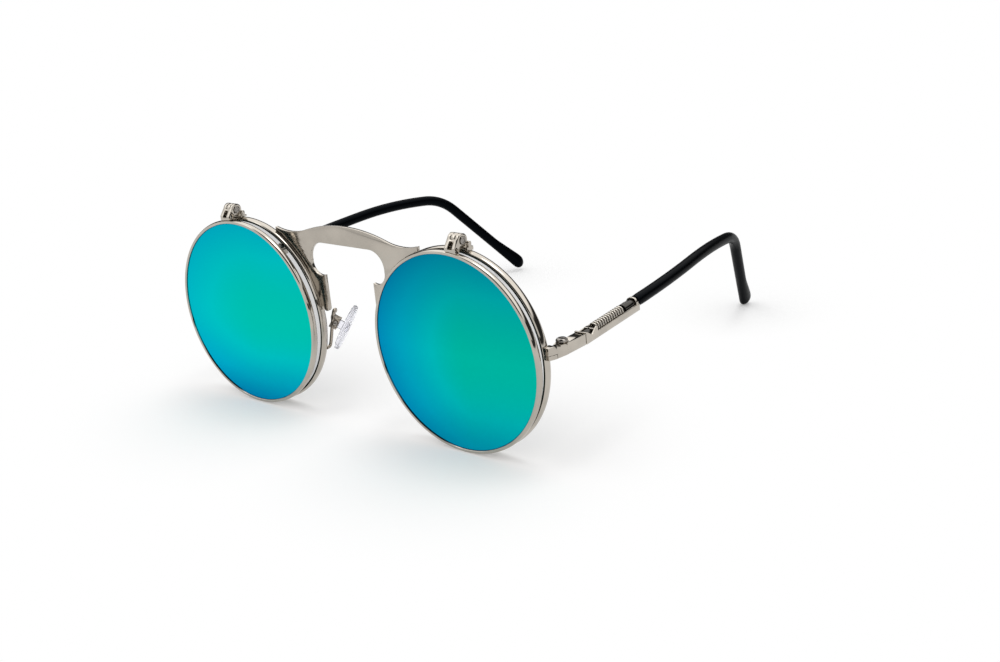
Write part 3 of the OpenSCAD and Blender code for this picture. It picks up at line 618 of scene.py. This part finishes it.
def makeSpringTree():
    tree = bpy.data.node_groups.new("coilSpring", "GeometryNodeTree")
    kinds = {
        "Turns": "NodeSocketFloat", "Pitch": "NodeSocketFloat", "Coil Radius": "NodeSocketFloat",
        "Wire Radius": "NodeSocketFloat", "Steps": "NodeSocketInt", "Sides": "NodeSocketInt",
        "Material": "NodeSocketMaterial",
    }
    ids = {}
    for name, kind in kinds.items():
        ids[name] = tree.interface.new_socket(name, in_out="INPUT", socket_type=kind).identifier
    tree.interface.new_socket("Geometry", in_out="OUTPUT", socket_type="NodeSocketGeometry")
    nodes, link = tree.nodes, tree.links.new
    inputs, output = nodes.new("NodeGroupInput"), nodes.new("NodeGroupOutput")
    height = nodes.new("ShaderNodeMath")
    height.operation = "MULTIPLY"
    link(inputs.outputs["Turns"], height.inputs[0])
    link(inputs.outputs["Pitch"], height.inputs[1])
    spiral = nodes.new("GeometryNodeCurveSpiral")
    link(inputs.outputs["Turns"], spiral.inputs["Rotations"])
    link(inputs.outputs["Steps"], spiral.inputs["Resolution"])
    link(inputs.outputs["Coil Radius"], spiral.inputs["Start Radius"])
    link(inputs.outputs["Coil Radius"], spiral.inputs["End Radius"])
    link(height.outputs[0], spiral.inputs["Height"])
    wire = nodes.new("GeometryNodeCurvePrimitiveCircle")
    link(inputs.outputs["Sides"], wire.inputs["Resolution"])
    link(inputs.outputs["Wire Radius"], wire.inputs["Radius"])
    sweep = nodes.new("GeometryNodeCurveToMesh")
    sweep.inputs["Fill Caps"].default_value = True
    link(spiral.outputs[0], sweep.inputs["Curve"])
    link(wire.outputs[0], sweep.inputs["Profile Curve"])
    smooth = nodes.new("GeometryNodeSetShadeSmooth")
    realize, paint = nodes.new("GeometryNodeRealizeInstances"), nodes.new("GeometryNodeSetMaterial")
    link(sweep.outputs[0], smooth.inputs[0])
    link(smooth.outputs[0], realize.inputs[0])
    link(realize.outputs[0], paint.inputs["Geometry"])
    link(inputs.outputs["Material"], paint.inputs["Material"])
    link(paint.outputs[0], output.inputs[0])
    return tree, ids


def makeSpring(side, tree, ids):
    shape = springShape
    spring = toObject("spring_" + side, bpy.data.meshes.new("spring"), springSteel)
    modifier = spring.modifiers.new("coil", "NODES")
    modifier.node_group = tree
    values = {
        "Turns": float(shape["turns"]), "Pitch": shape["pitch"] * mm,
        "Coil Radius": (shape["radius"] - shape["wire"] / 2) * mm, "Wire Radius": shape["wire"] / 2 * mm,
        "Steps": shape["stepsPerTurn"], "Sides": shape["sidesRound"], "Material": springSteel,
    }
    for name, value in values.items():
        modifier[ids[name]] = value
    settle(spring)
    start = Matrix.Translation(Vector((0, (shape["start"] + shape["wire"]) * mm, 0)))
    spring.data.transform(onTemple(side) @ (start @ Matrix.Rotation(math.radians(-90), 4, "X")))
    if side == "right":
        spring.data.flip_normals()
    return spring


springTree, springIds = makeSpringTree()
for side in sides:
    spring = makeSpring(side, springTree, springIds)
    seat(spring, "temple_" + side, "spring_steel", "temple_spring_" + side)

# Sleeves, which run back, bend down over the ear and end in a paddle
print("stage: sleeves")
sleeveShape = {
    "from": templeShape["channelFrom"] + templeShape["channelLength"] + templeShape["sleeveAfter"],
    "radius": 1.5, "mouthAt": (0, 0.12, 0.3, 0.6), "mouthR": (1.2, 1.32, 1.38, 1.42),
    "paddleR": 2.2, "paddleThin": 0.05, "widenAt": 3.5, "thinAt": 3, "fade": 10,
    "paddleShift": 0.7, "endRound": 2.4, "endLeast": 0.02,
    "runSteps": 34, "bendSteps": 16, "legSteps": 44, "legCrowding": 1.9, "round": 32, "sharp": 50,
}


def sleeveLine(y):  # the sleeve's middle in front of the bend
    t = templeShape
    inward = max(0, y - t["curveFrom"]) / (t["length"] - t["curveFrom"])
    down = max(0, y - t["dipFrom"]) / (t["length"] - t["dipFrom"])
    return Vector((-t["curveIn"] * inward ** 2, y, -t["dip"] * down ** 2))


def sleeveWay():  # the direction of the leg behind the bend
    drop, turn = math.radians(templeShape["drop"]), math.radians(templeShape["turn"])
    return Vector((-math.sin(turn) * math.cos(drop), math.cos(turn) * math.cos(drop), -math.sin(drop)))


def legLength(corner, way):  # the temple that rises least reaches down to endUp
    t = templeShape
    low = math.radians(min(t["rise"].values()))
    cornerUp = t["pivot"][2] + t["length"] * math.sin(low) + (corner.z + t["axisUp"]) * math.cos(low)
    return (cornerUp - t["endUp"]) / (-way.y * math.sin(low) - way.z * math.cos(low))


def sleevePath(way):
    t, s = templeShape, sleeveShape
    corner = sleeveLine(t["length"])
    leg, bend = legLength(corner, way), t["bend"]
    first, last, mouth = s["from"], t["length"] - bend, s["mouthAt"][-1]
    path = [sleeveLine(first + after) for after in s["mouthAt"]]
    for i in range(1, s["runSteps"] + 1):
        path.append(sleeveLine(first + mouth + (last - first - mouth) * i / s["runSteps"]))
    for i in range(1, s["bendSteps"] + 1):
        k = i / s["bendSteps"]
        before, after = (1 - k) ** 2 * sleeveLine(last), k * k * (corner + bend * way)
        path.append(before + 2 * k * (1 - k) * corner + after)
    for i in range(1, s["legSteps"] + 1):
        crowded = (1 - i / s["legSteps"]) ** s["legCrowding"]
        path.append(corner + (leg - (leg - bend) * crowded) * way)
    return path


def ramp(a, b, share):
    return a + (b - a) * max(0, min(1, share))


def sleeveRings():
    s, way = sleeveShape, sleeveWay()
    plane = Vector((0, 1, 0)).cross(way).normalized()
    path = sleevePath(way)
    turns = [2 * math.pi * k / s["round"] for k in range(s["round"])]
    rings = []
    for i, p in enumerate(path):
        along = (path[min(len(path) - 1, i + 1)] - path[max(0, i - 1)]).normalized()
        flatWay = plane.cross(along).normalized()
        other = along.cross(flatWay)
        left = (path[-1] - p).length
        wide = ramp(s["paddleR"], s["radius"], (left - s["widenAt"]) / s["fade"])
        thick = ramp(s["radius"] - s["paddleThin"], s["radius"], (left - s["thinAt"]) / s["fade"])
        if i < len(s["mouthR"]):
            wide = thick = s["mouthR"][i]
        end = math.sqrt(max(0.0, 1 - (1 - left / s["endRound"]) ** 2)) if left < s["endRound"] else 1
        end = max(end, s["endLeast"])
        middle = p - max(0, wide - s["radius"]) * s["paddleShift"] * flatWay
        rings.append([tuple(middle + end * (wide * math.cos(a) * flatWay + thick * math.sin(a) * other))
                      for a in turns])
    return rings


for side in sides:
    mesh = shell(sleeveRings())
    mesh.transform(Matrix.Translation(-at(0, 0, 0)))
    mesh.transform(onTemple(side))
    if side == "right":
        mesh.flip_normals()
    sleeve = toObject("sleeve_" + side, flat(mesh, sleeveShape["sharp"]), acetate)
    seat(sleeve, "temple_" + side, "tip_plastic", "temple_tip_" + side)

# Nose pads, egg-shaped cushions, each with a boss that goes into its arm's box
print("stage: nose pads")
padShape = {
    "length": 12.6, "width": 7.0, "edgeHalf": 0.80, "crownHalf": 1.0, "egg": 0.1, "fullness": 0.45,
    "rings": 14, "round": 64,
    "centre": (10, 7.4, 21.7), "up": (-4, 4.6, 10.1), "face": (-0.741, 0.417, -0.483),
    "boss": (1.0, 2.2, 2.9), "bossExtra": 0.75, "bossTop": -0.4, "bossEdge": 0.15,
}


def padFrame(sign):
    up = Vector(padShape["up"]).normalized()
    across = up.cross(Vector(padShape["face"])).normalized()
    face = across.cross(up)
    mirrored = Matrix.Scale(sign, 4, Vector((1, 0, 0)))
    turn = Matrix((across, up, face)).transposed().to_4x4()
    return mirrored @ Matrix.Translation(at(*padShape["centre"])) @ turn @ Matrix.Translation(-at(0, 0, 0))


def padCushion():  # rings from the middle of the face over the edge to the middle of the back
    shape = padShape
    full, crown, steps = shape["fullness"], shape["crownHalf"], 2 * shape["rings"]
    turns = [2 * math.pi * k / shape["round"] for k in range(shape["round"])]
    rings = []
    for i in range(steps + 1):
        t = math.pi * i / steps
        reach = math.sin(t) ** full
        thick = crown * math.copysign(abs(math.cos(t)) ** full, math.cos(t))
        thick *= 1 - (1 - shape["edgeHalf"] / crown) * reach ** 2
        wide, long = reach * shape["width"] / 2, reach * shape["length"] / 2
        rings.append([(wide * math.cos(a) * (1 - shape["egg"] * math.sin(a)), long * math.sin(a), thick)
                      for a in turns])
    return shell(rings, capEnds=False)


def padBoss():
    wide, high, deep = padShape["boss"]
    w, h = wide / 2, high / 2
    square = [(-w, -h), (w, -h), (w, h), (-w, h)]
    levels = (-deep - padShape["bossExtra"], padShape["bossTop"])
    boss = toObject("boss", shell([[(x, y, z) for x, y in square] for z in levels]), padClear)
    return soften(boss, padShape["bossEdge"], segments=3)


for side, sign in sides.items():
    pad = joined(toObject("nosePad_" + side, padCushion(), padClear), padBoss())
    pad.data.transform(padFrame(sign))
    if sign < 0:
        pad.data.flip_normals()
    seat(pad, "pad_" + side, "pad_clear", "nose_pad_" + side)

# The pale floor, which keeps its shadow near the rims and the tips
print("stage: floor and light")
floorLook = {
    "half": 3, "colour": (0.80, 0.80, 0.80, 1), "fleck": (0.82, 0.82, 0.82, 1), "fleckScale": 900,
    "glow": 0.23, "rimShadow": (0.014, 0.060), "tipShadow": (0.008, 0.032), "tipInset": 0.002,
}
rayNames = ("Is Camera Ray", "Is Glossy Ray", "Is Transmission Ray")
white = (1, 1, 1, 1)


def shadowSpots(shop):  # 1 where the floor's shadow is kept
    x, y, _ = shop.split(shop.place())
    tipLow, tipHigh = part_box("temple_tip_left")
    inset = floorLook["tipInset"]
    spots = (
        (front["rimX"] * mm, front["eyeRimFront"], floorLook["rimShadow"]),
        (tipLow.x + inset, tipHigh.y - inset, floorLook["tipShadow"]),
    )
    shade = 0.0
    for spotX, spotY, reach in spots:
        offX, offY = shop.maths("ABSOLUTE", x) - spotX, y - spotY
        far = shop.step(shop.maths("SQRT", offX * offX + offY * offY), *reach)
        shade = shop.maths("MAXIMUM", shade, 1 - far)
    return shade


def floorPaper():
    shop = Workshop("paleFloor")
    rays = [shop.node("ShaderNodeLightPath", out=name) for name in rayNames]
    shade = shadowSpots(shop)
    fleck = shop.noise(shop.place(), floorLook["fleckScale"], 3)
    colour = shop.mix(fleck, floorLook["colour"], floorLook["fleck"])
    body = shop.node("ShaderNodeBsdfDiffuse", sockets={"Color": colour})
    glowing = floorLook["glow"] * (rays[0] + rays[1] + rays[2])
    glow = shop.node("ShaderNodeEmission", sockets={"Color": white, "Strength": glowing})
    near = shop.node("ShaderNodeAddShader", sockets={0: body, 1: glow})
    plain = shop.node("ShaderNodeEmission", sockets={"Color": white, "Strength": 1.0})
    far = (1 - shade) * rays[0]
    return shop.finish(shop.node("ShaderNodeMixShader", sockets={0: far, 1: near, 2: plain}))


def makeFloor():
    made = bmesh.new()
    bmesh.ops.create_grid(made, x_segments=1, y_segments=1, size=floorLook["half"])
    mesh = bpy.data.meshes.new("floor")
    made.to_mesh(mesh)
    made.free()
    toObject("floor", mesh, floorPaper())


# The light: two soft boxes, and a room with dark parts that only reflections show
lampTarget = (0, 0, 0.02)
lamps = {  # its place, its size in metres and its power
    "softBoxLeft": ((-0.50, -0.35, 0.85), (0.45, 0.45), 0.5),
    "softBoxTop": ((0.10, 0.18, 1.0), (0.35, 0.35), 1.3),
}
room = {  # heights and sides are parts of the view direction, and each pair is a soft edge
    "ambient": 0.80, "ahead": (0.0, 0.12), "darkness": 0.96,
    "darkHigh": (0.42, 0.52), "darkSide": (-0.50, -0.32),  # a dark room in front, high up
    "bandFrom": (-0.04, 0.03), "bandFront": (0.10, 0.14), "bandBack": (0.39, 0.47),  # a dark horizon
    "tentTop": (0.40, 0.60), "tentMore": 0.65,  # the white tent is brighter at the top
}


def makeLamp(name, place, size, power):
    data = bpy.data.lights.new(name, "AREA")
    data.shape, data.size, data.size_y, data.energy = "RECTANGLE", size[0], size[1], power
    lamp = bpy.data.objects.new(name, data)
    scene.collection.objects.link(lamp)
    lamp.location = place
    lamp.rotation_euler = (Vector(lampTarget) - Vector(place)).to_track_quat("-Z", "Y").to_euler()


def roomBrightness(shop):
    x, y, z = shop.split(shop.node("ShaderNodeTexCoord", out="Generated"))
    ahead = shop.step(0 - y, *room["ahead"])
    darkRoom = ahead * shop.step(z, *room["darkHigh"]) * shop.step(x, *room["darkSide"])
    horizon = shop.step(z, *room["bandFrom"]) * (1 - shop.step(z, *room["bandFront"]) * ahead)
    horizon = horizon * (1 - shop.step(z, *room["bandBack"]))
    tent = 1.0 + shop.step(z, *room["tentTop"]) * room["tentMore"]
    return tent * (1 - shop.maths("MAXIMUM", darkRoom, horizon) * room["darkness"])


def makeWorld():
    world = bpy.data.worlds.new("studio")
    scene.world = world
    shop = Workshop("studio", world)
    cameraRay, glossyRay, throughRay = (shop.node("ShaderNodeLightPath", out=name) for name in rayNames)

    def background(strength):
        return shop.node("ShaderNodeBackground", sockets={"Color": white, "Strength": strength})

    ambient, seen, gloss = background(room["ambient"]), background(1.0), background(roomBrightness(shop))
    mixed = shop.node("ShaderNodeMixShader", sockets={0: glossyRay, 1: ambient, 2: gloss})
    direct = shop.maths("MAXIMUM", cameraRay, throughRay)
    studio = shop.node("ShaderNodeMixShader", sockets={0: direct, 1: mixed, 2: seen})
    shop.finish(studio, "ShaderNodeOutputWorld")


makeFloor()
for lampName, (place, size, power) in lamps.items():
    makeLamp(lampName, place, size, power)
makeWorld()
scene.view_settings.view_transform = "Standard"

print("stage: done")
